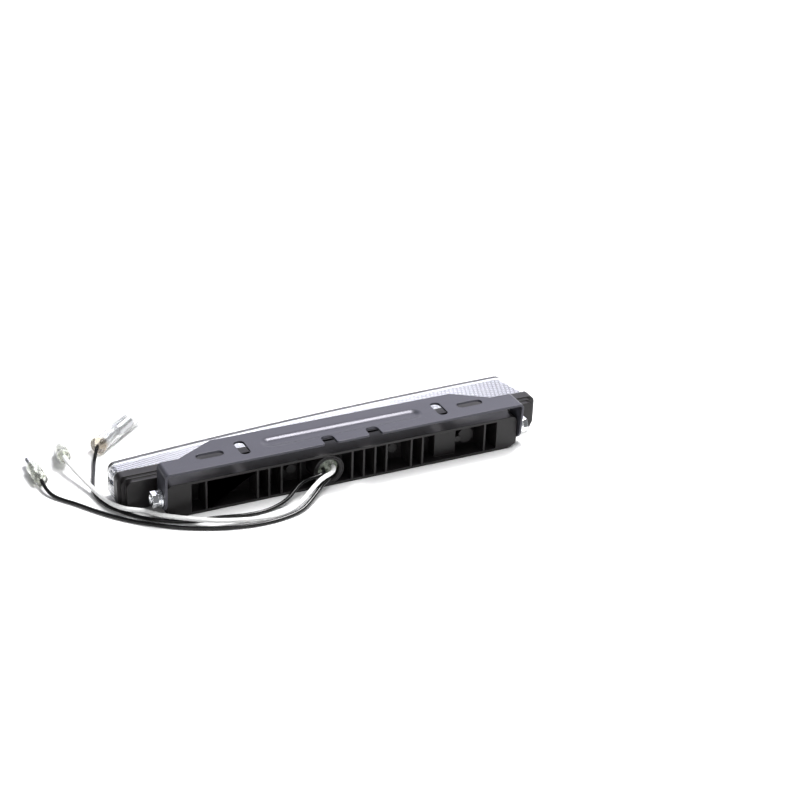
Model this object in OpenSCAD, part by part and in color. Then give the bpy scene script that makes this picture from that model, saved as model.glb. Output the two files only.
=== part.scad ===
// Daytime running light: slim clear-fronted LED lamp in a black housing,
// hung between the arms of a slotted steel bracket, with three short leads.
// X runs along the lamp, the ribbed back faces -Y, the lens faces +Y and Z is up.
// The origin lies under the middle of the lamp, on the surface that it stands on.

/* [Lamp body] */
// Length of the lamp over its lens
lamp_l = 220; // [214:1:226]
// Height of the housing and the lens
lamp_h = 17.6; // [17.2:0.2:19]
// Radius of the lens and flange corners
corner_r = 3.5; // [2.5:0.1:4]
// How far the ribbed back lies behind the origin
back_y = 19.8; // [19.4:0.1:20.4]
// Thickness of the ribs in the back
rib_t = 1.1; // [0.8:0.1:1.6]
// Depth of the pockets between the ribs
pocket_d = 10.6; // [8:0.1:11]

/* [Lens cover] */
// Height of the lens wall above its seam at the shallow end
lens_shallow = 9.8; // [8:0.1:11]
// Height of the lens wall above its seam at the deep end
lens_deep = 21.1; // [18:0.1:23]
// Wall of the lens cover
lens_wall = 1.5; // [1.3:0.1:1.8]
// Thickness of the front of the lens cover
lens_front = 1.1; // [0.9:0.1:1.5]
// Lean of the deep end's wall, in degrees
lens_lean = 15; // [8:1:18]

/* [Bracket] */
// Height of the top of the bracket above the standing surface
bracket_top = 25.6; // [25:0.1:27]
// Thickness of the steel
steel_t = 1.2; // [1:0.1:1.6]
// Width of the bracket over its two arms
bracket_w = 186; // [185.8:0.2:187]
// Distance between the two slots that run along the bracket
slot_spacing = 135.6; // [128:0.2:140]
// Length of each slot over its round ends
slot_l = 13.5; // [11:0.5:16]
// Width of every slot
slot_w = 5; // [4.2:0.1:5.5]
// Distance between the two slots that run across the bracket
cross_spacing = 102.8; // [98:0.2:106]
// Height of the pivot bolts above the standing surface
pivot_z = 10.2; // [9.8:0.1:10.6]

/* [Leads] */
// Outer diameter of the white lead
white_d = 2.3; // [2:0.1:2.5]
// Outer diameter of the two black leads
black_d = 1.8; // [1.5:0.1:1.9]
// Outer diameter of the short sleeves on the bullet terminals
sleeve_d = 6.6; // [6:0.1:7]
// Outer diameter of the long sleeve on the socket terminal
socket_sleeve_d = 9.2; // [8.8:0.1:9.2]

/* [Light source] */
// Distance between neighbouring light-emitting diodes
led_pitch = 34; // [32:0.5:34]
// Thickness of the diode board
board_t = 1.6; // [1:0.1:1.6]

/* [Hidden] */

hl = lamp_l/2;               // half the length of the lamp
seam_y = 2;                  // plane where lens and housing meet
rim_y = -3.5;                // back of the flange
mid_y = -8;                  // back of the shell behind the flange
floor_y = -back_y + pocket_d;// bottom of the pockets in the back
cav_y = -7;                  // bottom of the hollow that opens to the lens
mid_z = lamp_h/2;            // middle height of the lamp
blk = 91.4;                  // half length of the block between the bracket's arms
pivot_y = -16.2;             // pivot bolts, behind the origin
arm_x = bracket_w/2;         // outer face of each arm
near_y = -23.1;              // edge of the bracket over the ribbed back
end_y = -10.6;               // far edge of the bracket at its narrow ends
far_y = 0.6;                 // far edge of the bracket in its wide middle
plate_z = bracket_top - steel_t;
grom_x = -10.6;              // lead outlet
// The front of the lens is a long arc in plan, with its crown near the deep end
front_r = 1965;
crown_x = 101.1;
crown_y = seam_y + lens_deep;
lean_end = hl;               // where the leaning wall meets the seam
// ribs of the back, by their middles
ribs = [-72.2, -46.7, -41.0, -34.7, 1.8, 7.9, 13.9, 19.9, 33.2, 39.3, 73.4];
pock_l = -79.4;              // pockets run from here
pock_r = 80.0;               // to here
led_x = [for (i = [-2.5 : 1 : 2.5]) i*led_pitch];
screw_x = [-2*led_pitch, -led_pitch, led_pitch, 2*led_pitch];
e = 0.01;

// Routes of the leads, from the board through the outlet and along the surface
white_route = [[-8,-5.6,9.6],[-8,-17.2,9.6],[-8,-18.8,9.6],[-8.8,-21.4,9.5],[-11,-23.4,9.2],
  [-14.2,-24.6,8.8],[-17.6,-26,8.1],[-21,-28,7.1],[-25.2,-30.8,5.8],[-28.6,-33,4.6],[-32,-34.8,3.4],
  [-36,-36.4,2.2],[-41,-37.4,1.5],[-48,-37.4,1.2],[-55,-36.2,1.25],[-61,-35.4,1.7],
  [-67,-34.6,2.4],[-73,-33.2,3],[-78,-30.6,3.1],[-82,-28.2,3.1],[-86,-25.8,3.2],
  [-90.6,-23,3.4],[-95.2,-19.4,3.5],[-99.2,-14.8,3.5],[-103.2,-12,3.6],[-108.2,-8.8,3.8],
  [-111.8,-3.4,3.7],[-114.2,3.6,3.4],[-115.4,9.6,3.1],[-116.2,14.6,3.1],[-117.8,21.6,3.6],
  [-119.4,28.4,4.6],[-120.8,34.6,5.6],[-121.7,40,6.3],[-121.9,43.9,6.4],[-121.4,47.2,5.65]];
front_route = [[-9.4,-5.6,6],[-9.4,-17.2,6],[-9.4,-18.8,6],[-10.6,-21.6,6],[-13,-23.8,5.8],
  [-16,-25.8,5.3],[-19.4,-28.6,4.5],[-22.8,-31.4,3.6],[-26.4,-34.2,2.7],[-30.4,-36.8,1.8],
  [-35.6,-38.8,1.2],[-41,-40,1],[-46,-40.7,0.95],[-50.5,-40.9,0.95],[-55,-40.7,0.95],[-61.4,-39.8,0.95],
  [-70,-37.8,0.95],[-78.6,-34.6,0.95],[-85.4,-31.4,0.95],[-91,-28.2,0.95],[-98.6,-22.8,0.95],
  [-106.2,-16.8,0.95],[-113.4,-9.4,0.95],[-120.2,-0.8,0.95],[-126.8,8.6,0.95],[-130.6,13.4,0.95],
  [-133.4,17.2,1.1],[-135.2,20.6,1.6],[-136.3,24.4,2.5],[-136.6,27.8,3.2],[-136.6,31,3.35],
  [-136.8,35.5,3.35]];
rear_route = [[-13,-5.6,9.2],[-13,-17.2,9.2],[-13,-18.8,9.2],[-13.7,-21.2,9.2],[-15.8,-22.8,9.1],
  [-18.6,-23.2,8.8],[-21.4,-23.2,8.4],[-24.4,-23.2,7.7],[-27.8,-24.2,6.5],[-31,-26,5],[-34.2,-27.8,3.6],
  [-38,-29.2,2.3],[-42.6,-30.2,1.4],[-48,-31,0.95],[-53.4,-31.2,0.95],[-59,-30.6,0.95],
  [-65,-29.2,0.95],[-71,-27.9,0.95],[-76,-27.4,0.95],[-81,-26.8,0.95],[-86,-25.3,0.95],
  [-91.4,-22.6,0.95],[-97.2,-19,0.95],[-102,-15,0.95],[-106.4,-10,0.95],[-110.6,-4,0.95],
  [-113.6,1.4,0.95],[-115.4,7,0.95],[-115.9,12.8,0.95],[-114.8,20,0.95],[-113,26.4,0.95],
  [-110.6,33.4,1],[-107.9,41.4,1.7],[-105.5,46.7,3.2],[-102.9,51.6,4.4],[-99.2,54.85,4.45]];

// ---- shared shapes ----

// rectangle with round corners, drawn in length and height
module rrect(x0, x1, z0, z1, r) {
    translate([x0 + r, z0]) square([x1 - x0 - 2*r, z1 - z0]);
    translate([x0, z0 + r]) square([x1 - x0, z1 - z0 - 2*r]);
    for (x = [x0 + r, x1 - r], z = [z0 + r, z1 - r]) translate([x, z]) circle(r, $fn = 48);
}
// an outline in length and height, filled from y0 to y1
module slab(y0, y1) {
    translate([0, y1, 0]) rotate([90, 0, 0]) linear_extrude(y1 - y0) children();
}
// lamp outline, moved inwards by d
module lamp_outline(d, r) { rrect(-hl + d, hl - d, d, lamp_h - d, r); }
// cylinder along y
module ycyl(x, z, y0, y1, r, fn = 48) {
    translate([x, y1, z]) rotate([90, 0, 0]) cylinder(h = y1 - y0, r = r, $fn = fn);
}
// slot with round ends, l long over them and w wide
module slot2d(l, w) {
    square([l - w, w], center = true);
    for (s = [-1, 1]) translate([s*(l - w)/2, 0]) circle(w/2, $fn = 40);
}

// ---- leads: a round tube swept along a smooth curve through the route ----
function seg(p, i) = norm(p[i + 1] - p[i]);
function tan_at(p, i) =
    i == 0 ? (p[1] - p[0])/seg(p, 0) :
    i == len(p) - 1 ? (p[i] - p[i - 1])/seg(p, i - 1) :
    ((p[i + 1] - p[i])/seg(p, i)*seg(p, i - 1) + (p[i] - p[i - 1])/seg(p, i - 1)*seg(p, i))
        /(seg(p, i - 1) + seg(p, i));
function along(p, i, t) =
    (2*t*t*t - 3*t*t + 1)*p[i] + (t*t*t - 2*t*t + t)*seg(p, i)*tan_at(p, i)
    + (3*t*t - 2*t*t*t)*p[i + 1] + (t*t*t - t*t)*seg(p, i)*tan_at(p, i + 1);
function steps(p, i, d) = max(1, round(seg(p, i)/(2.6*d)));
function curve(p, d) = concat(
    [for (i = [0 : len(p) - 2]) let (n = steps(p, i, d)) for (k = [0 : n - 1]) along(p, i, k/n)],
    [p[len(p) - 1]]);
function dir_at(c, i) = let (a = c[max(i - 1, 0)], b = c[min(i + 1, len(c) - 1)]) (b - a)/norm(b - a);
function side_of(t) = let (s = cross(t, [0, 0, 1])) s/norm(s);
function ring_at(c, i, r) = let (t = dir_at(c, i), s = side_of(t), u = cross(s, t))
    [for (k = [0 : 7]) let (a = 45*k) c[i] + r*(cos(a)*s + sin(a)*u)];
module tube(p, d) {
    c = curve(p, d);
    n = len(c);
    pts = [for (i = [0 : n - 1]) each ring_at(c, i, d/2)];
    walls = [for (i = [0 : n - 2], k = [0 : 7]) let (a = 8*i + k, b = 8*i + (k + 1)%8)
        each [[a, b, b + 8], [a, b + 8, a + 8]]];
    first = [[for (k = [7 : -1 : 0]) k]];
    last = [[for (k = [0 : 7]) 8*(n - 1) + k]];
    polyhedron(points = pts, faces = concat(walls, first, last), convexity = 8);
}

// ---- lamp body ----

module back_block_2d() {
    polygon([[-blk, 2.4], [-blk + 4.6, 0], [blk - 4.6, 0], [blk, 2.4],
             [blk, lamp_h - 3.3], [blk - 3.3, lamp_h], [-blk + 3.3, lamp_h], [-blk, lamp_h - 3.3]]);
    for (s = [-1, 1]) translate([s*(blk - 3.3), lamp_h - 3.3]) circle(3.3, $fn = 48);
}
// one pocket of the back, between two ribs
module pocket(x0, x1) { translate([x0, 1.3]) square([x1 - x0, lamp_h - 2.7]); }

module housing() {
    color("#1b1b1e") difference() {
        union() {
            difference() {
                union() {
                    slab(rim_y, seam_y) lamp_outline(0, corner_r);
                    slab(rim_y - 1.9, rim_y + e) rrect(-hl + 1.6, hl - 1.6, 0.9, lamp_h - 0.6, corner_r - 0.3);
                    slab(mid_y, rim_y - 1.9 + e) rrect(-hl + 3.4, hl - 3.4, 1.7, lamp_h - 1.1, corner_r - 0.3);
                    slab(-back_y, mid_y + e) back_block_2d();
                }
                // hollow that opens to the lens
                slab(cav_y, seam_y + 1) rrect(-hl + 5.5, hl - 5.5, 3.6, lamp_h - 3.6, 2);
                // groove that takes the foot of the lens
                slab(-1, seam_y + 1) difference() {
                    lamp_outline(0.95, 2.6);
                    lamp_outline(2.45, 1.4);
                }
                // pockets of the back, one between each pair of ribs
                slab(-back_y - 1, floor_y) difference() {
                    union() {
                        pocket(pock_l, ribs[0] - rib_t/2);
                        for (i = [0 : len(ribs) - 2]) pocket(ribs[i] + rib_t/2, ribs[i + 1] - rib_t/2);
                        pocket(ribs[len(ribs) - 1] + rib_t/2, pock_r);
                    }
                    translate([grom_x, mid_z]) circle(7.8, $fn = 64);
                }
            }
            // collar around the lead outlet, a little proud of the back
            difference() {
                ycyl(grom_x, mid_z, -back_y - 0.3, -back_y + 3, 7.8, 64);
                ycyl(grom_x, mid_z, -back_y - 1, -back_y + 4, 6, 64);
                // ring groove in its face
                difference() {
                    ycyl(grom_x, mid_z, -back_y - 1, -back_y + 0.3, 7.2, 64);
                    ycyl(grom_x, mid_z, -back_y - 2, -back_y + 1, 6.7, 64);
                }
            }
            // round pads on the pocket floors
            for (x = [-26.8, 26.6]) ycyl(x, mid_z, floor_y - 2.8, floor_y + e, 2.5);
            ycyl(66, mid_z, floor_y - 4.4, floor_y + e, 4.2);
            ycyl(61, mid_z - 0.6, floor_y - 5.6, floor_y + e, 1.7);
            // long pad high in the left pocket
            translate([-66.6, floor_y - 7.6, lamp_h - 6.2]) cube([9.8, 7.6 + e, 4.9]);
            // low rib beside the outlet
            translate([-22.4, floor_y - 3, 1.3]) cube([1, 3 + e, lamp_h - 2.7]);
            // plain rating plate, raised from the pocket floor
            translate([47.6, floor_y - 6.6, 1.3]) cube([11.6, 6.6 + e, lamp_h - 2.7]);
            // posts under the diode board
            for (x = screw_x) ycyl(x, mid_z, cav_y - e, -board_t - 0.02, 2.6);
            for (x = [-27.4, 9.4]) ycyl(x, mid_z, cav_y - e, -5.62, 1.5);
        }
        // mouth of the lead outlet and its way into the hollow
        ycyl(grom_x, mid_z, -back_y - 1, floor_y, 5.6, 64);
        ycyl(grom_x, mid_z, floor_y - e, cav_y + e, 5, 64);
        // holes for the board screws
        for (x = screw_x) ycyl(x, mid_z, -6.4, 0, 1.05, 32);
        // pressed seats for the threaded inserts
        for (s = [-1, 1]) translate([s*(blk - 5), pivot_y, pivot_z]) rotate([0, 90, 0])
            cylinder(h = 10.4, r = 2.82, center = true, $fn = 48);
    }
}

module threaded_inserts() {
    color("#c2a14d") for (s = [-1, 1]) translate([s*(blk - 5), pivot_y, pivot_z]) rotate([0, 90, 0])
        difference() {
            cylinder(h = 9.8, r = 2.8, center = true, $fn = 48);
            cylinder(h = 12, r = 2.0, center = true, $fn = 48);
        }
}

// ---- lens ----

// solid that fills the lens when d and f are 0; larger d moves the walls inwards, larger f the front
module lens_fill(d, f, r, y0) {
    intersection() {
        slab(y0, crown_y + 5) lamp_outline(d, r);
        translate([lean_end, seam_y, 0]) rotate([0, 0, lens_lean]) translate([-lean_end, -seam_y, 0])
            slab(y0 - 80, crown_y + 80) rrect(-hl - 60, lean_end - d, d, lamp_h - d, r);
        translate([crown_x, crown_y - front_r, -5]) cylinder(h = lamp_h + 10, r = front_r - f, $fn = 720);
    }
}
module lens_cover() {
    color("#dfe7ee") {
        difference() {
            lens_fill(0, 0, corner_r, seam_y + 0.05);
            lens_fill(lens_wall, lens_front, 1.8, seam_y + 1);
            // the root of the wall is thicker, over its foot
            slab(seam_y - 1, seam_y + 1 + e) lamp_outline(2.2, 1.4);
        }
        // foot that sits in the groove of the housing
        slab(-0.3, seam_y + 0.05 + e) difference() {
            lamp_outline(1.2, 2.4);
            lamp_outline(2.2, 1.4);
        }
    }
}
module lens_seal() {
    color("#9c9a90") slab(-0.98, -0.34) difference() {
        lamp_outline(1, 2.5);
        lamp_outline(2.4, 1.4);
    }
}

// ---- light source ----

module reflector() {
    color("#e8eaec") difference() {
        union() {
            intersection() {
                slab(seam_y + 1.3, crown_y) lamp_outline(lens_wall + 0.4, 1.4);
                translate([lean_end, seam_y, 0]) rotate([0, 0, lens_lean]) translate([-lean_end, -seam_y, 0])
                    slab(-80, crown_y + 80) rrect(-hl - 60, lean_end - lens_wall - 0.7, lens_wall + 0.4, lamp_h - lens_wall - 0.4, 1.4);
                translate([crown_x, crown_y - front_r, -5]) cylinder(h = lamp_h + 10, r = front_r - lens_wall - 0.6, $fn = 720);
            }
            slab(0.3, seam_y + 1.3 + e) rrect(-hl + 6, hl - 6, 4, lamp_h - 4, 1.6);
        }
        // one flared cup over each diode
        for (x = led_x) {
            intersection() {
                translate([x, 0, mid_z]) rotate([-90, 0, 0])
                    cylinder(h = 26, r1 = 2.3, r2 = 27, $fn = 64);
                translate([x - 15.8, -1, 3.2]) cube([31.6, 40, lamp_h - 6.4]);
            }
            ycyl(x, mid_z, -1, 1.5, 2.7);
        }
        // pockets over the screw heads
        for (x = screw_x) ycyl(x, mid_z, -1, 2.6, 2.8);
    }
}
module led_board() {
    color("#f0f0ea") difference() {
        slab(-board_t, 0) rrect(-hl + 6.6, hl - 6.6, 4.2, lamp_h - 4.2, 1);
        for (x = screw_x) ycyl(x, mid_z, -3, 1, 1.35, 32);
        for (x = [-24, -21, 3, 6]) ycyl(x, 6, -3, 1, 0.5, 24);
    }
}
module leds() {
    color("#f4e79c") for (x = led_x) {
        translate([x - 1.6, 0.01, mid_z - 1.6]) cube([3.2, 0.7, 3.2]);
        intersection() {
            translate([x, 0.4, mid_z]) sphere(r = 1.35, $fn = 40);
            translate([x - 2, 0.4, mid_z - 2]) cube([4, 3, 4]);
        }
    }
}
module board_screws() {
    color("#c9ccd0") for (x = screw_x) difference() {
        union() {
            ycyl(x, mid_z, 0.01, 1.4, 2.2);
            ycyl(x, mid_z, -5.6, 0.1, 1.02, 32);
        }
        translate([x, 1.4, mid_z]) for (a = [0, 90]) rotate([0, a, 0]) cube([2.6, 1.4, 0.5], center = true);
    }
}
module driver_board() {
    color("#2f6b45") difference() {
        slab(-5.6, -4.4) rrect(-30, 12, 4.3, lamp_h - 4.3, 0.8);
        for (x = [-24, -21, 3, 6]) ycyl(x, 6, -7, -3, 0.5, 24);
    }
}
module driver_parts() {
    color("#3a3a3e") {
        // storage choke
        translate([-17, -3.1, 9.4]) cube([6, 2.6, 6], center = true);
        // switching circuit and its rectifier
        translate([-8.4, -3.55, 10]) cube([5, 1.7, 4], center = true);
        translate([-8.4, -3.7, 6.2]) cube([4, 1.4, 2.2], center = true);
        // filter capacitors
        ycyl(-1, 9.6, -4.4, -2, 2.1);
        ycyl(4.4, 9.6, -4.4, -2, 2.1);
        // small resistors
        for (x = [-26.6, -12.2, 9.2]) translate([x, -4.1, 11]) cube([1.2, 0.6, 2], center = true);
    }
}
module link_pins() {
    color("#d8c070") for (x = [-24, -21, 3, 6]) ycyl(x, 6, -6.2, 0.2, 0.45, 24);
}
module lead_grommet() {
    foot = cav_y - 0.1;
    color("#a9b3a4") difference() {
        translate([grom_x, foot, mid_z]) rotate([90, 0, 0]) rotate_extrude($fn = 96)
            polygon([[0, 0], [4.95, 0], [4.95, foot - floor_y + 0.01], [5.55, foot - floor_y + 0.01],
                     [5.55, 10.3], [4.6, 10.8], [3.2, 11.2], [1.6, 11.44], [0, 11.5]]);
        ycyl(-8, 9.6, -20, 0, white_d/2 + 0.05, 32);
        ycyl(-9.4, 6, -20, 0, black_d/2 + 0.05, 32);
        ycyl(-13, 9.2, -20, 0, black_d/2 + 0.05, 32);
    }
}

// ---- bracket and its fasteners ----

// cross-section over the length, with a bend of radius r at each corner
module u_outline(d, r) {
    x = arm_x - d;
    z = bracket_top - d;
    translate([-x, -10]) square([2*x, z - r + 10]);
    translate([-x + r, -10]) square([2*x - 2*r, z + 10]);
    for (s = [-1, 1]) translate([s*(x - r), z - r]) circle(r, $fn = 48);
}
module bracket() {
    color("#55585f") difference() {
        union() {
            intersection() {
                slab(near_y, far_y) difference() { u_outline(0, 2.4); u_outline(steel_t, 1.2); }
                // plan of the plate: narrow ends, wide middle
                translate([0, 0, -1]) linear_extrude(bracket_top + 2)
                    polygon([[-arm_x - 1, near_y], [arm_x + 1, near_y], [arm_x + 1, end_y], [80.5, end_y],
                             [63, far_y], [-63, far_y], [-82.5, end_y], [-arm_x - 1, end_y]]);
                // side of the arms: round lower ends about the bolts
                rotate([90, 0, 90]) translate([0, 0, -arm_x - 1]) linear_extrude(2*arm_x + 2) {
                    polygon([[near_y, bracket_top + 1], [near_y, bracket_top - 3], [pivot_y - 5.8, pivot_z],
                             [pivot_y + 5.8, pivot_z], [end_y, bracket_top - 3], [far_y, bracket_top - 3],
                             [far_y, bracket_top + 1]]);
                    translate([pivot_y, pivot_z]) circle(5.8, $fn = 64);
                }
            }
            // underside of the pressed bead
            hull() for (s = [-1, 1]) {
                translate([s*36.9, -11.5, plate_z]) cylinder(h = 0.3, r = 4.9, $fn = 32);
                translate([s*36.9, -11.5, plate_z - 1]) cylinder(h = 0.1, r = 3, $fn = 32);
            }
        }
        // top of the pressed bead
        hull() for (s = [-1, 1]) {
            translate([s*36.9, -11.5, bracket_top]) cylinder(h = 0.5, r = 4.5, $fn = 32);
            translate([s*36.9, -11.5, bracket_top - 1]) cylinder(h = 0.1, r = 2.2, $fn = 32);
        }
        // slots that run along the plate
        for (s = [-1, 1]) translate([s*slot_spacing/2, -12.5, plate_z - 1]) linear_extrude(steel_t + 2)
            slot2d(slot_l, slot_w);
        // slots that run across the plate
        for (s = [-1, 1]) translate([s*cross_spacing/2, -11.6, plate_z - 1]) rotate([0, 0, 90])
            linear_extrude(steel_t + 2) slot2d(12.9, slot_w);
        // notches in the edge over the lead outlet
        for (x = [-10.75, 12.45]) translate([x, near_y, plate_z - 1]) linear_extrude(steel_t + 2) {
            translate([0, 4.25]) circle(3.15, $fn = 48);
            translate([-3.15, -1]) square([6.3, 5.25]);
            difference() {
                translate([-4.15, -1]) square([8.3, 2]);
                for (s = [-1, 1]) translate([s*4.15, 1]) circle(1, $fn = 32);
            }
        }
        // holes for the pivot bolts
        for (s = [-1, 1]) translate([s*arm_x, pivot_y, pivot_z]) rotate([0, 90, 0])
            cylinder(h = 8, r = 2.05, center = true, $fn = 48);
    }
}
module pivot_bolt() {
    // built along +X, washer face at 0
    difference() {
        union() {
            rotate([0, 90, 0]) rotate([0, 0, 30]) cylinder(h = 2.8, r = 4.04, $fn = 6);
            translate([-11.6, 0, 0]) rotate([0, 90, 0]) cylinder(h = 11.7, r = 1.97, $fn = 48);
        }
        translate([2.3, 0, 0]) rotate([0, 90, 0]) cylinder(h = 1, r1 = 2.3, r2 = 2.9, $fn = 48);
        for (a = [0, 90]) rotate([a, 0, 0]) translate([2.2, 0, 0]) cube([2.4, 3.4, 0.8], center = true);
    }
}
module both_ends(x) {
    translate([x, pivot_y, pivot_z]) children();
    mirror([1, 0, 0]) translate([x, pivot_y, pivot_z]) children();
}
module pivot_bolts() { color("#d9dade") both_ends(arm_x + 2.2) pivot_bolt(); }
module spring_washers() {
    color("#c4c6ca") both_ends(arm_x + 1.07) rotate([0, 90, 0]) difference() {
        cylinder(h = 1.1, r = 3.8, $fn = 48);
        translate([0, 0, -1]) cylinder(h = 3, r = 2.05, $fn = 48);
        translate([-4, 1.2, -1]) rotate([0, 0, 30]) cube([2.6, 0.7, 3], center = false);
    }
}
module flat_washers() {
    color("#cfd1d5") both_ends(arm_x + 0.05) rotate([0, 90, 0]) difference() {
        cylinder(h = 1, r = 4.5, $fn = 48);
        translate([0, 0, -1]) cylinder(h = 3, r = 2.15, $fn = 48);
    }
}

// ---- leads and terminals ----

module white_lead() { color("#f2f2f0") tube(white_route, white_d); }
module black_lead_front() { color("#161616") tube(front_route, black_d); }
module black_lead_rear() { color("#161616") tube(rear_route, black_d); }

// place a terminal on the end of a lead, in line with it
module on_end(route) {
    p = route[len(route) - 1];
    d = p - route[len(route) - 2];
    translate(p) rotate([0, -asin(d[2]/norm(d)), atan2(d[1], d[0])]) rotate([0, 90, 0]) children();
}
// bullet with its crimp, which starts where the lead ends
module bullet() {
    cylinder(h = 4.6, r = 1.75, $fn = 32);
    translate([0, 0, 4.5]) cylinder(h = 1.8, r = 2.45, $fn = 32);
    translate([0, 0, 6.2]) cylinder(h = 10.1, r = 1.95, $fn = 32);
    translate([0, 0, 16.3]) sphere(r = 1.95, $fn = 32);
}
// short sleeve over the crimp of a bullet
module bullet_sleeve(r_lead) {
    difference() {
        union() {
            translate([0, 0, -4.5]) cylinder(h = 13.6, r = sleeve_d/2, $fn = 48);
            translate([0, 0, 9]) cylinder(h = 1.7, r1 = sleeve_d/2, r2 = sleeve_d/2 - 0.7, $fn = 48);
        }
        translate([0, 0, -6]) cylinder(h = 20, r = r_lead + 0.1, $fn = 32);
        translate([0, 0, -2.5]) cylinder(h = 20, r = 2.5, $fn = 48);
    }
}
module white_bullet() { color("#b9bcc0") on_end(white_route) bullet(); }
module white_bullet_sleeve() { color("#dcdcc8", 0.6) on_end(white_route) bullet_sleeve(white_d/2); }
module black_bullet() { color("#b9bcc0") on_end(front_route) bullet(); }
module black_bullet_sleeve() { color("#dcdcc8", 0.6) on_end(front_route) bullet_sleeve(black_d/2); }
module socket_terminal() {
    color("#a4a7ab") on_end(rear_route) {
        // crimp round the lead
        cylinder(h = 6, r = 1.8, $fn = 32);
        translate([0, 0, 5.9]) cylinder(h = 5, r = 1.4, $fn = 32);
        // sprung barrel that takes a bullet
        difference() {
            translate([0, 0, 10.8]) cylinder(h = 12, r = 2.7, $fn = 48);
            translate([0, 0, 12.6]) cylinder(h = 12, r = 2.0, $fn = 48);
            translate([-3.5, -0.3, 13]) cube([3.5, 0.6, 12]);
        }
    }
}
module socket_sleeve() {
    color("#e6e8e4", 0.5) on_end(rear_route) difference() {
        union() {
            translate([0, 0, -5.5]) cylinder(h = 35.5, r1 = socket_sleeve_d/2 - 0.45, r2 = socket_sleeve_d/2, $fn = 64);
            translate([0, 0, -5.5]) cylinder(h = 3, r = socket_sleeve_d/2 - 0.3, $fn = 64);
            translate([0, 0, 6.5]) cylinder(h = 2.4, r = socket_sleeve_d/2 - 0.15, $fn = 64);
        }
        translate([0, 0, -6]) cylinder(h = 50, r = black_d/2 + 0.1, $fn = 32);
        translate([0, 0, -2.5]) cylinder(h = 50, r = 2.8, $fn = 64);
        translate([0, 0, 12.6]) cylinder(h = 0.71, r1 = 2.8, r2 = 3.5, $fn = 64);
        translate([0, 0, 13.3]) cylinder(h = 30, r = 3.5, $fn = 64);
    }
}

housing();
lens_cover();
lens_seal();
reflector();
led_board();
leds();
board_screws();
driver_board();
driver_parts();
link_pins();
lead_grommet();
threaded_inserts();
bracket();
pivot_bolts();
spring_washers();
flat_washers();
white_lead();
black_lead_front();
black_lead_rear();
white_bullet();
white_bullet_sleeve();
black_bullet();
black_bullet_sleeve();
socket_terminal();
socket_sleeve();
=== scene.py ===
import math
import bpy
import bmesh
from mathutils import Matrix, Vector


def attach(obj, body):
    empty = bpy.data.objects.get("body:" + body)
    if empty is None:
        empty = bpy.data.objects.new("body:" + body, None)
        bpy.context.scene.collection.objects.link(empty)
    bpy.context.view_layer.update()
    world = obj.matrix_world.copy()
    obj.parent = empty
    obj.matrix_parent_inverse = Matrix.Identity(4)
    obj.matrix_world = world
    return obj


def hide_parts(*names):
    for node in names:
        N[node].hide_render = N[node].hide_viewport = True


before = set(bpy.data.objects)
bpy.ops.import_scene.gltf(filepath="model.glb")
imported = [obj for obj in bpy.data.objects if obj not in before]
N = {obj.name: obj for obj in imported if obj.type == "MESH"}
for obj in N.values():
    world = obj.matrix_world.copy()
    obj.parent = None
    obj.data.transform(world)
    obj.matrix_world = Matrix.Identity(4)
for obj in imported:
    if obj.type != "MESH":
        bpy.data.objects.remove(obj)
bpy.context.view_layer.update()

scene = bpy.context.scene
coll = scene.collection
MM = 0.001

# ---------------------------------------------------------------- camera
cam_data = bpy.data.cameras.new("photo_camera")
cam_data.sensor_fit = "HORIZONTAL"
cam_data.sensor_width = 36.0
cam_data.lens = 80.7791
cam_data.clip_start = 0.01
cam_data.clip_end = 40.0
cam = bpy.data.objects.new("photo_camera", cam_data)
coll.objects.link(cam)
cam.matrix_world = Matrix((
    (0.903541, 0.174951, -0.391159, -0.309109),
    (-0.427358, 0.434551, -0.792799, -0.698974),
    (0.031278, 0.883492, 0.467401, 0.439826),
    (0.0, 0.0, 0.0, 1.0)))
scene.camera = cam

# ---------------------------------------------------------------- material helpers


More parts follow.
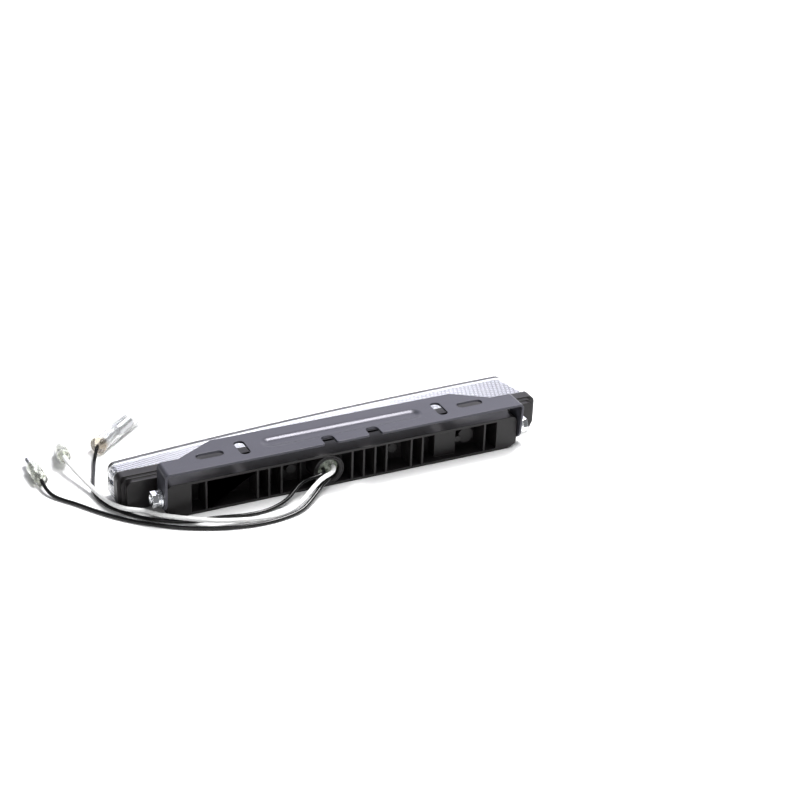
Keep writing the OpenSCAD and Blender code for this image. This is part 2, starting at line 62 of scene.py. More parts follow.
class Mat:
    """A Principled material with short names for the nodes around it."""

    def __init__(self, name, color=(0.5, 0.5, 0.5), rough=0.5, metal=0.0, spec=0.5, ior=1.5,
                 trans=0.0, coat=0.0, coat_rough=0.08, sss=0.0, sss_r=(1, 1, 1), sss_scale=0.001,
                 alpha=1.0, aniso=0.0):
        m = bpy.data.materials.new(name)
        m.use_nodes = True
        self.m, self.t = m, m.node_tree
        self.b = self.t.nodes["Principled BSDF"]
        self.out = self.t.nodes["Material Output"]
        i = self.b.inputs
        i["Base Color"].default_value = (*color, 1)
        i["Roughness"].default_value = rough
        i["Metallic"].default_value = metal
        i["Specular IOR Level"].default_value = spec
        i["IOR"].default_value = ior
        i["Transmission Weight"].default_value = trans
        i["Coat Weight"].default_value = coat
        i["Coat Roughness"].default_value = coat_rough
        i["Subsurface Weight"].default_value = sss
        i["Subsurface Radius"].default_value = sss_r
        i["Subsurface Scale"].default_value = sss_scale
        i["Alpha"].default_value = alpha
        i["Anisotropic"].default_value = aniso
        self.coord = None

    def n(self, kind, **values):
        node = self.t.nodes.new(kind)
        for k, v in values.items():
            setattr(node, k, v)
        return node

    def link(self, a, b):
        self.t.links.new(a, b)

    def obj(self, scale=(1, 1, 1), rot=(0, 0, 0)):
        """Object coordinates, stretched and turned."""
        if self.coord is None:
            self.coord = self.n("ShaderNodeTexCoord")
        if scale == (1, 1, 1) and rot == (0, 0, 0):
            return self.coord.outputs["Object"]
        mp = self.n("ShaderNodeMapping")
        mp.inputs["Scale"].default_value = scale
        mp.inputs["Rotation"].default_value = rot
        self.link(self.coord.outputs["Object"], mp.inputs["Vector"])
        return mp.outputs["Vector"]

    def noise(self, scale, detail=3.0, rough=0.55, stretch=(1, 1, 1), rot=(0, 0, 0), distort=0.0):
        t = self.n("ShaderNodeTexNoise")
        t.inputs["Scale"].default_value = scale
        t.inputs["Detail"].default_value = detail
        t.inputs["Roughness"].default_value = rough
        t.inputs["Distortion"].default_value = distort
        self.link(self.obj(stretch, rot), t.inputs["Vector"])
        return t.outputs["Fac"]

    def voronoi(self, scale, feature="F1", stretch=(1, 1, 1)):
        t = self.n("ShaderNodeTexVoronoi", feature=feature)
        t.inputs["Scale"].default_value = scale
        self.link(self.obj(stretch), t.inputs["Vector"])
        return t.outputs["Distance"]

    def span(self, value, lo, hi, to_lo, to_hi):
        r = self.n("ShaderNodeMapRange")
        for k, v in (("From Min", lo), ("From Max", hi), ("To Min", to_lo), ("To Max", to_hi)):
            r.inputs[k].default_value = v
        self.link(value, r.inputs["Value"])
        return r.outputs["Result"]

    def math(self, op, a, b=None):
        m = self.n("ShaderNodeMath", operation=op)
        for k, v in enumerate((a, b)):
            if v is None:
                continue
            if isinstance(v, (int, float)):
                m.inputs[k].default_value = v
            else:
                self.link(v, m.inputs[k])
        return m.outputs["Value"]

    def mix(self, fac, a, b):
        m = self.n("ShaderNodeMix", data_type="RGBA")
        if isinstance(fac, (int, float)):
            m.inputs["Factor"].default_value = fac
        else:
            self.link(fac, m.inputs["Factor"])
        for key, v in ((6, a), (7, b)):
            if isinstance(v, tuple):
                m.inputs[key].default_value = (*v, 1)
            else:
                self.link(v, m.inputs[key])
        return m.outputs[2]

    def color(self, socket):
        self.link(socket, self.b.inputs["Base Color"])
        return self

    def rough(self, socket):
        self.link(socket, self.b.inputs["Roughness"])
        return self

    def bump(self, height, strength=0.2, distance=0.0001, after=None):
        """One layer of relief; several layers run one after another."""
        p = self.n("ShaderNodeBump")
        p.inputs["Strength"].default_value = strength
        p.inputs["Distance"].default_value = distance
        self.link(height, p.inputs["Height"])
        last = getattr(self, "last_bump", None)
        if last is not None:
            self.link(last, p.inputs["Normal"])
        self.last_bump = p.outputs["Normal"]
        self.link(p.outputs["Normal"], self.b.inputs["Normal"])
        return self


def set_material(o, mat):
    if len(o.material_slots) == 0:
        o.data.materials.append(mat)
    for s in o.material_slots:
        s.material = mat


# ---------------------------------------------------------------- materials

# black moulding: spark-eroded satin, slightly paler where it has been handled
M = Mat("satin_black_moulding", rough=0.42, spec=0.45)
big = M.noise(38, 4, 0.6)
fine = M.noise(2600, 2, 0.6)
scuff = M.noise(210, 5, 0.7, stretch=(0.25, 1, 1))
M.color(M.mix(M.span(big, 0.35, 0.7, 0.0, 1.0), (0.0085, 0.0074, 0.0078), (0.0130, 0.0114, 0.0120)))
M.rough(M.math("ADD", M.span(big, 0.3, 0.7, 0.33, 0.42), M.span(scuff, 0.45, 0.75, 0.0, 0.10)))
M.bump(fine, 0.22, 0.00006)
M.bump(big, 0.10, 0.0004)
mat_housing = M.m

# bracket: blue-grey electro-coat over rolled steel
M = Mat("bracket_coat", rough=0.34, spec=0.5)
M.b.inputs["Specular Tint"].default_value = (0.93, 0.9, 1.0, 1)
cloud = M.noise(26, 5, 0.6)
grain = M.noise(1500, 3, 0.6)
speck = M.voronoi(900)
rolled = M.noise(160, 3, 0.55, stretch=(0.12, 1, 1))
base = M.mix(M.span(cloud, 0.3, 0.7, 0.0, 1.0), (0.043, 0.044, 0.054), (0.055, 0.056, 0.067))
base = M.mix(M.span(speck, 0.02, 0.12, 0.35, 0.0), base, (0.085, 0.087, 0.098))
base = M.mix(M.span(grain, 0.35, 0.7, 0.0, 0.35), base, (0.034, 0.035, 0.042))
M.color(base)
M.rough(M.math("ADD", M.span(cloud, 0.3, 0.7, 0.28, 0.34), M.span(rolled, 0.4, 0.7, 0.0, 0.06)))
M.bump(grain, 0.22, 0.00008)
M.bump(rolled, 0.10, 0.0002)
mat_bracket = M.m

# clear acrylic of the lens
M = Mat("clear_lens", color=(0.97, 0.975, 0.985), rough=0.02, ior=1.49, trans=0.965)
M.rough(M.span(M.noise(120, 4, 0.6), 0.4, 0.75, 0.012, 0.06))
M.color(M.mix(M.span(M.noise(30, 2), 0.3, 0.7, 0.0, 1.0), (0.965, 0.97, 0.985), (0.98, 0.982, 0.99)))
M.bump(M.noise(90, 2, 0.5), 0.05, 0.0003)
mat_lens = M.m

# metallised reflector: fine slanting ridges all over its outside; over them, painted shade: dark slanting lines on the
# top, bottom and leaning end faces, dark crossing lines towards the deep end, those faces greyed, and the shallow end
# painted dark blue
M = Mat("reflector_metallised", color=(0.9, 0.91, 0.93), rough=0.16, metal=1.0)
xyz = M.n("ShaderNodeSeparateXYZ")
M.link(M.obj(), xyz.inputs["Vector"])
X, Y, Z = xyz.outputs["X"], xyz.outputs["Y"], xyz.outputs["Z"]


def stripe_mask(M, a, b, c, pitch, lo, hi):
    """Thin lines where a*x + b*y + c*z passes each pitch: 1 on a line, 0 between."""
    q = M.math("ADD", M.math("MULTIPLY", X, a / pitch), M.math("MULTIPLY", Y, b / pitch))
    q = M.math("ADD", q, M.math("MULTIPLY", Z, c / pitch))
    f = M.math("ABSOLUTE", M.math("SUBTRACT", M.math("FRACT", q), 0.5))
    return M.span(f, lo, hi, 1.0, 0.0)


line_a = stripe_mask(M, 1.0, 0.75, 0.9, 0.0020, 0.16, 0.3)
line_b = stripe_mask(M, 1.0, -0.35, -0.5, 0.0022, 0.14, 0.26)
line_c = stripe_mask(M, 0.25, 1.0, 0.0, 0.0022, 0.12, 0.24)
painted_shade_end_lines = stripe_mask(M, 0.0, 0.12, 1.0, 0.0018, 0.1, 0.24)
left = M.span(X, -0.108, -0.05, 1.0, 0.2)
right = M.span(X, 0.02, 0.1, 0.0, 0.9)
top = M.math("MAXIMUM", M.span(Z, 0.0150, 0.0154, 0.0, 1.0), M.span(Z, 0.0022, 0.0026, 1.0, 0.0))
lean = M.span(M.math("ADD", X, M.math("MULTIPLY", Y, 0.268)), 0.1078, 0.1081, 0.0, 1.0)
top = M.math("MAXIMUM", top, lean)
cl = M.noise(60, 4, 0.6)
col = M.mix(M.span(cl, 0.3, 0.7, 0.0, 1.0), (0.93, 0.94, 0.96), (0.88, 0.9, 0.93))
# painted shade: top, bottom and leaning end faces greyed to (0.60, 0.61, 0.66), most strongly towards both ends
painted_shade_skin = M.math("MULTIPLY", top, M.math("ADD", M.math("MULTIPLY", M.math("MAXIMUM", left, right), 0.75), 0.25))
end = M.span(X, -0.1079, -0.1076, 1.0, 0.0)
shell = M.math("MAXIMUM", top, end)
col = M.mix(painted_shade_skin, col, (0.60, 0.61, 0.66))
# painted shade: the shallow end face is painted dark blue and, further down, made less metallic and less glossy
col = M.mix(end, col, (0.30, 0.34, 0.44))
# painted shade: dark slanting lines over the top faces, strong at the left end and faint at the right, and dark
# crossing lines towards the right end
painted_shade_hatch_a = M.math("MULTIPLY", top, M.math("MAXIMUM", M.math("MULTIPLY", left, 0.9), M.math("MULTIPLY", right, 0.25)))
painted_shade_hatch_b = M.math("MULTIPLY", M.math("MULTIPLY", right, top), 0.95)
col = M.mix(M.math("MULTIPLY", line_a, painted_shade_hatch_a), col, (0.03, 0.033, 0.06))
col = M.mix(M.math("MULTIPLY", M.math("MAXIMUM", line_b, line_c), painted_shade_hatch_b), col, (0.04, 0.043, 0.075))
# painted shade: dark straight lines over the shallow end face
col = M.mix(M.math("MULTIPLY", painted_shade_end_lines, end), col, (0.015, 0.022, 0.05))
M.color(col)
M.link(M.math("SUBTRACT", 1.0, M.math("MULTIPLY", shell, 0.85)), M.b.inputs["Metallic"])
M.link(M.math("SUBTRACT", 0.5, M.math("MULTIPLY", end, 0.35)), M.b.inputs["Specular IOR Level"])
M.rough(M.math("ADD", M.span(cl, 0.3, 0.7, 0.12, 0.26), M.math("MULTIPLY", shell, 0.25)))
M.bump(line_a, 0.35, 0.0002)
M.bump(M.noise(240, 3, 0.5), 0.1, 0.0002)
mat_reflector = M.m

# silicone seal
M = Mat("seal_silicone", color=(0.5, 0.49, 0.45), rough=0.55, sss=0.3, sss_scale=0.0008)
M.color(M.mix(M.span(M.noise(300, 3), 0.3, 0.7, 0.0, 1.0), (0.5, 0.49, 0.45), (0.42, 0.41, 0.38)))
M.bump(M.noise(700, 3), 0.3, 0.0001)
mat_seal = M.m

# white solder mask with faint copper relief
M = Mat("board_white", color=(0.82, 0.82, 0.79), rough=0.35, coat=0.3)
M.color(M.mix(M.span(M.noise(90, 2, 0.4, stretch=(1, 1, 4)), 0.47, 0.53, 0.0, 0.5),
              (0.84, 0.84, 0.81), (0.74, 0.75, 0.71)))
M.bump(M.noise(90, 2, 0.4, stretch=(1, 1, 4)), 0.3, 0.00008)
M.bump(M.noise(1800, 3), 0.15, 0.00005)
mat_board = M.m

# green solder mask of the driver board
M = Mat("board_green", color=(0.05, 0.2, 0.09), rough=0.32, coat=0.35)
M.color(M.mix(M.span(M.noise(260, 2, 0.4), 0.47, 0.53, 0.0, 0.7), (0.03, 0.16, 0.07), (0.07, 0.25, 0.12)))
M.bump(M.noise(260, 2, 0.4), 0.3, 0.00008)
mat_green = M.m

# phosphor under clear silicone
M = Mat("diode_phosphor", color=(0.9, 0.74, 0.22), rough=0.28, coat=0.6, sss=0.2, sss_scale=0.0006)
M.color(M.mix(M.span(M.voronoi(2600), 0.1, 0.5, 0.0, 1.0), (0.94, 0.8, 0.28), (0.8, 0.62, 0.14)))
M.bump(M.noise(2200, 2), 0.2, 0.00005)
mat_diode = M.m

# moulded packages on the driver board
M = Mat("electronics", color=(0.03, 0.03, 0.033), rough=0.5)
M.color(M.mix(M.span(M.noise(900, 3), 0.3, 0.7, 0.0, 1.0), (0.02, 0.02, 0.023), (0.06, 0.06, 0.065)))
M.bump(M.noise(1600, 3), 0.3, 0.00006)
mat_electronics = M.m


def metal(name, a, b, lo, hi, scale=420, stretch=(1, 1, 1), bump=0.18, aniso=0.0):
    """Plated or turned metal: cloudy tint, uneven gloss, fine marks and tiny pits."""
    M = Mat(name, color=a, metal=1.0, rough=lo, aniso=aniso)
    c = M.noise(scale, 4, 0.6)
    s = M.noise(scale * 5, 3, 0.6, stretch=stretch)
    col = M.mix(M.span(c, 0.3, 0.7, 0.0, 1.0), a, b)
    col = M.mix(M.span(M.noise(scale * 2.2, 5, 0.7), 0.6, 0.78, 0.0, 0.55), col, tuple(x * 0.55 for x in b))
    M.color(col)
    M.rough(M.math("ADD", M.span(c, 0.3, 0.7, lo, hi), M.span(s, 0.35, 0.7, 0.0, 0.08)))
    M.bump(s, bump, 0.00006)
    return M.m


mat_zinc = metal("bright_zinc", (0.93, 0.94, 0.95), (0.84, 0.85, 0.88), 0.12, 0.22)
mat_washer = metal("zinc_washer", (0.9, 0.91, 0.93), (0.78, 0.8, 0.83), 0.16, 0.28)
mat_tin = metal("tinned_terminal", (0.66, 0.67, 0.69), (0.5, 0.51, 0.54), 0.2, 0.36, scale=520)
mat_tin_bright = metal("tinned_bullet", (0.8, 0.81, 0.83), (0.66, 0.67, 0.7), 0.16, 0.3, scale=520)
mat_brass = metal("turned_brass", (0.78, 0.58, 0.26), (0.66, 0.47, 0.19), 0.18, 0.3)
mat_link = metal("link_pin", (0.8, 0.68, 0.4), (0.7, 0.58, 0.33), 0.2, 0.3)
mat_copper = metal("copper_strand", (0.85, 0.45, 0.28), (0.7, 0.35, 0.2), 0.22, 0.36, scale=900)

# lead insulation, in white and in black
M = Mat("lead_white_pvc", color=(0.86, 0.86, 0.85), rough=0.3, spec=0.5, sss=0.12, sss_scale=0.0006)
c = M.noise(140, 4, 0.6)
M.color(M.mix(M.span(c, 0.3, 0.7, 0.0, 1.0), (0.85, 0.85, 0.845), (0.8, 0.8, 0.79)))
M.rough(M.span(c, 0.3, 0.7, 0.24, 0.36))
M.bump(M.noise(900, 3, 0.6), 0.18, 0.00006)
mat_lead_white = M.m
M = Mat("lead_black_pvc", color=(0.006, 0.006, 0.006), rough=0.2, spec=0.42)
c = M.noise(140, 4, 0.6)
M.color(M.mix(M.span(c, 0.3, 0.7, 0.0, 1.0), (0.0035, 0.0035, 0.0037), (0.008, 0.008, 0.0082)))
M.rough(M.span(c, 0.3, 0.7, 0.12, 0.2))
M.bump(M.noise(900, 3, 0.6), 0.12, 0.00006)
mat_lead_black = M.m

# milky soft sleeve
M = Mat("sleeve_milky", color=(0.87, 0.88, 0.82), rough=0.16, ior=1.45, trans=0.9, spec=0.5)
c = M.noise(240, 4, 0.6)
M.color(M.mix(M.span(c, 0.3, 0.7, 0.0, 1.0), (0.93, 0.94, 0.89), (0.86, 0.88, 0.80)))
M.rough(M.span(c, 0.3, 0.7, 0.1, 0.24))
M.bump(M.noise(420, 3, 0.6), 0.16, 0.0001)
mat_sleeve = M.m
M = Mat("sleeve_clear", color=(0.95, 0.96, 0.95), rough=0.12, ior=1.42, trans=0.93, spec=0.5)
c = M.noise(200, 4, 0.6)
xyz = M.n("ShaderNodeSeparateXYZ")
M.link(M.obj(), xyz.inputs["Vector"])
heat = M.math("ADD", M.math("MULTIPLY", xyz.outputs["X"], 0.7513), M.math("MULTIPLY", xyz.outputs["Y"], 0.6599))
M.color(M.mix(M.span(heat, -0.0436, -0.0395, 1.0, 0.0), M.mix(M.span(c, 0.3, 0.7, 0.0, 1.0), (0.985, 0.988, 0.985), (0.95, 0.955, 0.945)),
              (0.86, 0.74, 0.58)))
M.rough(M.span(c, 0.3, 0.7, 0.1, 0.22))
M.bump(M.noise(380, 3, 0.6), 0.14, 0.0001)
mat_sleeve_clear = M.m

# translucent outlet plug
M = Mat("outlet_plug", color=(0.42, 0.46, 0.4), rough=0.3, sss=0.5, sss_r=(1, 1, 0.8), sss_scale=0.0015,
        coat=0.4, coat_rough=0.12)
c = M.noise(380, 4, 0.7)
M.color(M.mix(M.span(c, 0.35, 0.68, 0.0, 1.0), (0.05, 0.06, 0.045), (0.42, 0.46, 0.38)))
M.rough(M.span(c, 0.3, 0.7, 0.18, 0.42))
M.bump(c, 0.5, 0.0003)
M.bump(M.noise(1500, 3, 0.6), 0.2, 0.00008)
mat_plug = M.m

# ---------------------------------------------------------------- leads
WHITE = [[-8,-5.6,9.6],[-8,-17.2,9.6],[-8,-18.8,9.6],[-8.8,-21.4,9.5],[-11,-23.4,9.2],[-14.2,-24.6,8.8],
         [-17.6,-26,8.1],[-21,-28,7.1],[-25.2,-30.8,5.8],[-28.6,-33,4.6],[-32,-34.8,3.4],[-36,-36.4,2.2],
         [-41,-37.4,1.5],[-48,-37.4,1.2],[-55,-36.2,1.25],[-61,-35.4,1.7],[-67,-34.6,2.4],[-73,-33.2,3],
         [-78,-30.6,3.1],[-82,-28.2,3.1],[-86,-25.8,3.2],[-90.6,-23,3.4],[-95.2,-19.4,3.5],[-99.2,-14.8,3.5],
         [-103.2,-12,3.6],[-108.2,-8.8,3.8],[-111.8,-3.4,3.7],[-114.2,3.6,3.4],[-115.4,9.6,3.1],
         [-116.2,14.6,3.1],[-117.8,21.6,3.6],[-119.4,28.4,4.6],[-120.8,34.6,5.6],[-121.7,40,6.3],
         [-121.9,43.9,6.4],[-121.4,47.2,5.65]]
FRONT = [[-9.4,-5.6,6],[-9.4,-17.2,6],[-9.4,-18.8,6],[-10.6,-21.6,6],[-13,-23.8,5.8],[-16,-25.8,5.3],
         [-19.4,-28.6,4.5],[-22.8,-31.4,3.6],[-26.4,-34.2,2.7],[-30.4,-36.8,1.8],[-35.6,-38.8,1.2],
         [-41,-40,1],[-46,-40.7,0.95],[-50.5,-40.9,0.95],[-55,-40.7,0.95],[-61.4,-39.8,0.95],[-70,-37.8,0.95],
         [-78.6,-34.6,0.95],[-85.4,-31.4,0.95],[-91,-28.2,0.95],[-98.6,-22.8,0.95],[-106.2,-16.8,0.95],
         [-113.4,-9.4,0.95],[-120.2,-0.8,0.95],[-126.8,8.6,0.95],[-130.6,13.4,0.95],[-133.4,17.2,1.1],
         [-135.2,20.6,1.6],[-136.3,24.4,2.5],[-136.6,27.8,3.2],[-136.6,31,3.35],[-136.8,35.5,3.35]]
REAR = [[-13,-5.6,9.2],[-13,-17.2,9.2],[-13,-18.8,9.2],[-13.7,-21.2,9.2],[-15.8,-22.8,9.1],
        [-18.6,-23.2,8.8],[-21.4,-23.2,8.4],[-24.4,-23.2,7.7],[-27.8,-24.2,6.5],[-31,-26,5],
        [-34.2,-27.8,3.6],[-38,-29.2,2.3],[-42.6,-30.2,1.4],[-48,-31,0.95],[-53.4,-31.2,0.95],
        [-59,-30.6,0.95],[-65,-29.2,0.95],[-71,-27.9,0.95],[-76,-27.4,0.95],[-81,-26.8,0.95],
        [-86,-25.3,0.95],[-91.4,-22.6,0.95],[-97.2,-19,0.95],[-102,-15,0.95],[-106.4,-10,0.95],
        [-110.6,-4,0.95],[-113.6,1.4,0.95],[-115.4,7,0.95],[-115.9,12.8,0.95],[-114.8,20,0.95],
        [-113,26.4,0.95],[-110.6,33.4,1],[-107.9,41.4,1.7],[-105.5,46.7,3.2],[-102.9,51.6,4.4],
        [-99.2,54.85,4.45]]


def lead(name, route, diameter, mat):
    """Round lead along a smooth curve through the route."""
    p = [Vector(q) * MM for q in route]
    n = len(p)
    seg = [(p[i + 1] - p[i]).length for i in range(n - 1)]

    def tan(i):
        if i == 0:
            return (p[1] - p[0]) / seg[0]
        if i == n - 1:
            return (p[i] - p[i - 1]) / seg[i - 1]
        return ((p[i + 1] - p[i]) / seg[i] * seg[i - 1] + (p[i] - p[i - 1]) / seg[i - 1] * seg[i]) / (seg[i - 1] + seg[i])

    cu = bpy.data.curves.new(name, "CURVE")
    cu.dimensions = "3D"
    cu.resolution_u = 8
    cu.bevel_depth = diameter / 2 * MM
    cu.bevel_resolution = 6
    cu.use_fill_caps = True
    sp = cu.splines.new("BEZIER")
    sp.bezier_points.add(n - 1)
    for i, b in enumerate(sp.bezier_points):
        b.handle_left_type = b.handle_right_type = "FREE"
        b.co = p[i]
        t = tan(i)
        b.handle_right = p[i] + t * (seg[min(i, n - 2)] / 3)
        b.handle_left = p[i] - t * (seg[max(i - 1, 0)] / 3)
    cu.materials.append(mat)
    o = bpy.data.objects.new(name, cu)
    coll.objects.link(o)
    return o


lead_white = lead("lead_white", WHITE, 2.3, mat_lead_white)
lead_front = lead("lead_black_front", FRONT, 1.8, mat_lead_black)
lead_rear = lead("lead_black_rear", REAR, 1.8, mat_lead_black)


def end_frame(route):
    """Where a terminal sits: its own Z runs on from the end of the lead."""
    a, b = Vector(route[-2]), Vector(route[-1])
    d = (b - a).normalized()
    return (Matrix.Translation(b * MM) @ Matrix.Rotation(math.atan2(d.y, d.x), 4, "Z")
            @ Matrix.Rotation(-math.asin(d.z), 4, "Y") @ Matrix.Rotation(math.pi / 2, 4, "Y"))


# ---------------------------------------------------------------- mesh helpers

def finish_mesh(bm, name, mat, smooth=32):
    bmesh.ops.recalc_face_normals(bm, faces=bm.faces)
    me = bpy.data.meshes.new(name)
    bm.to_mesh(me)
    bm.free()
    me.shade_smooth()
    me.set_sharp_from_angle(angle=math.radians(smooth))
    me.materials.append(mat)
    o = bpy.data.objects.new(name, me)
    coll.objects.link(o)
    return o


def settle(o, weighted=False):
    """Apply the modifiers of o to its mesh."""
    if weighted:
        k = o.modifiers.new("weld", "WELD")
        k.merge_threshold = 0.001 * MM
        w = o.modifiers.new("wn", "WEIGHTED_NORMAL")
        w.mode = "FACE_AREA"
        w.keep_sharp = True
        w.weight = 100
        w.use_face_influence = True
        t = o.modifiers.new("tri", "TRIANGULATE")
        t.ngon_method = "BEAUTY"
        t.min_vertices = 5
        t.keep_custom_normals = True
    dg = bpy.context.evaluated_depsgraph_get()
    me = bpy.data.meshes.new_from_object(o.evaluated_get(dg), preserve_all_data_layers=True, depsgraph=dg)
    o.modifiers.clear()
    old = o.data
    o.data = me
    bpy.data.meshes.remove(old)
    me.name = o.name
    return o


def eased(node, name, mat, body="lamp", width=0.12, seg=2, angle=30, merge=0.002, first=None):
    """A piece on the shape of a CAD node, with its edges rounded off."""
    bm = bmesh.new()
    bm.from_mesh(N[node].data)
    bmesh.ops.remove_doubles(bm, verts=bm.verts, dist=merge * MM)
    bmesh.ops.dissolve_limit(bm, angle_limit=math.radians(0.4), verts=bm.verts, edges=bm.edges)
    if first:
        first(bm)
    o = finish_mesh(bm, name, mat, 30)
    b = o.modifiers.new("bevel", "BEVEL")
    b.width = width * MM
    b.segments = seg
    b.limit_method = "ANGLE"
    b.angle_limit = math.radians(angle)
    b.use_clamp_overlap = False
    b.face_strength_mode = "FSTR_ALL"
    b.miter_outer = "MITER_ARC" if seg > 1 else "MITER_SHARP"
    settle(o, weighted=True)
    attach(o, body)
    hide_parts(node)
    return o


def loft(name, rows, mat, place=None, n=48, cap0=True, cap1=True, smooth=32):
    """Rings of n points; rows give (z, radius) in mm, or (z, radius, f) with f(angle) scaling the radius."""
    bm = bmesh.new()
    rings = []
    for row in rows:
        z, r = row[0], row[1]
        f = row[2] if len(row) > 2 else None
        ring = []
        for k in range(n):
            a = 2 * math.pi * k / n
            q = r * (f(a) if f else 1.0)
            ring.append(bm.verts.new((q * math.cos(a) * MM, q * math.sin(a) * MM, z * MM)))
        rings.append(ring)
    for a, b in zip(rings, rings[1:]):
        for k in range(n):
            bm.faces.new((a[k], a[(k + 1) % n], b[(k + 1) % n], b[k]))
    if cap0:
        bm.faces.new(list(reversed(rings[0])))
    if cap1:
        bm.faces.new(rings[-1])
    if not cap0 and not cap1:
        for k in range(n):
            bm.faces.new((rings[-1][k], rings[-1][(k + 1) % n], rings[0][(k + 1) % n], rings[0][k]))
    if place is not None:
        bmesh.ops.transform(bm, matrix=place, verts=bm.verts)
    return finish_mesh(bm, name, mat, smooth)


# ---------------------------------------------------------------- bracket and housing


def press_bead(bm):
    """Round the four edges of the pressed bead widely, as a press tool leaves them."""
    rims = ((25.6, 4.5), (24.6, 2.2), (24.4, 4.9), (23.4, 3.0))

    def on(v, z, r):
        x, y = v.co.x / MM, v.co.y / MM + 11.5
        x = max(abs(x) - 36.9, 0.0)
        return abs(v.co.z / MM - z) < 0.02 and abs(math.hypot(x, y) - r) < 0.04

    for z, r in rims:
        edges = [e for e in bm.edges if all(on(v, z, r) for v in e.verts) and e.calc_face_angle(0) > 0.2]
        bmesh.ops.bevel(bm, geom=edges, offset=0.85 * MM, offset_type="OFFSET", segments=4, profile=0.5,
                        affect="EDGES", clamp_overlap=False)


bracket = eased("bracket", "bracket_plate", mat_bracket, body="bracket", width=0.16, seg=2,
                first=press_bead)
shell = eased("housing", "housing_shell", mat_housing, width=0.13, seg=2, merge=0.03)

# ---------------------------------------------------------------- lens
# One clear moulding: polished outside, shallow slanting flutes on the inside of its walls.
HL, LH, CR, SEAM = 110.0, 17.6, 3.5, 2.0
CROWN_X, CROWN_Y, FRONT_R = 101.1, 23.1, 1965.0
LEAN = math.tan(math.radians(15))


def outline(d, count):
    """Points of the rounded outline moved inwards by d, evenly spread, with their outward normals."""
    hx, hz = HL - d, LH / 2 - d
    r = max(min(CR - d * 0.75, hz), 0.0)
    sx, sz, arc = 2 * (hx - r), 2 * (hz - r), math.pi / 2 * r
    # the pieces keep their share of points at every d, so that rings match
    S = 2 * (HL - CR), 2 * (LH / 2 - CR), math.pi / 2 * CR
    total = 2 * S[0] + 2 * S[1] + 4 * S[2]
    out = []
    for k in range(count):
        s = total * k / count
        # corners are walked from the middle of the bottom edge, anticlockwise seen from behind
        steps = [(S[0] / 2, 0), (S[2], 1), (S[1], 2), (S[2], 3), (S[0], 4), (S[2], 5), (S[1], 6), (S[2], 7), (S[0] / 2, 8)]
        for length, kind in steps:
            if s < length or kind == 8:
                f = s / length
                break
            s -= length
        cx, cz = hx - r, hz - r
        a = f * math.pi / 2
        if kind == 0:
            x, z, nx, nz = f * cx, -hz, 0, -1
        elif kind == 1:
            x, z, nx, nz = cx + r * math.sin(a), -cz - r * math.cos(a), math.sin(a), -math.cos(a)
        elif kind == 2:
            x, z, nx, nz = hx, -cz + f * 2 * cz, 1, 0
        elif kind == 3:
            x, z, nx, nz = cx + r * math.cos(a), cz + r * math.sin(a), math.cos(a), math.sin(a)
        elif kind == 4:
            x, z, nx, nz = cx - f * 2 * cx, hz, 0, 1
        elif kind == 5:
            x, z, nx, nz = -cx - r * math.sin(a), cz + r * math.cos(a), -math.sin(a), math.cos(a)
        elif kind == 6:
            x, z, nx, nz = -hx, cz - f * 2 * cz, -1, 0
        elif kind == 7:
            x, z, nx, nz = -cx - r * math.cos(a), -cz - r * math.sin(a), -math.cos(a), -math.sin(a)
        else:
            x, z, nx, nz = -cx + f * cx, -hz, 0, -1
        out.append((x, z, nx, nz, total * k / count))
    return out


def front_y(x, d):
    return CROWN_Y - FRONT_R + math.sqrt(max((FRONT_R - d) ** 2 - (x - CROWN_X) ** 2, 0.0))


def lean_x(x, y):
    """The deep end leans inwards; the long walls stretch with it."""
    w = min(max((x - 40.0) / (HL - CR - 40.0), 0.0), 1.0)
    return x - max(y - SEAM, 0.0) * LEAN * w


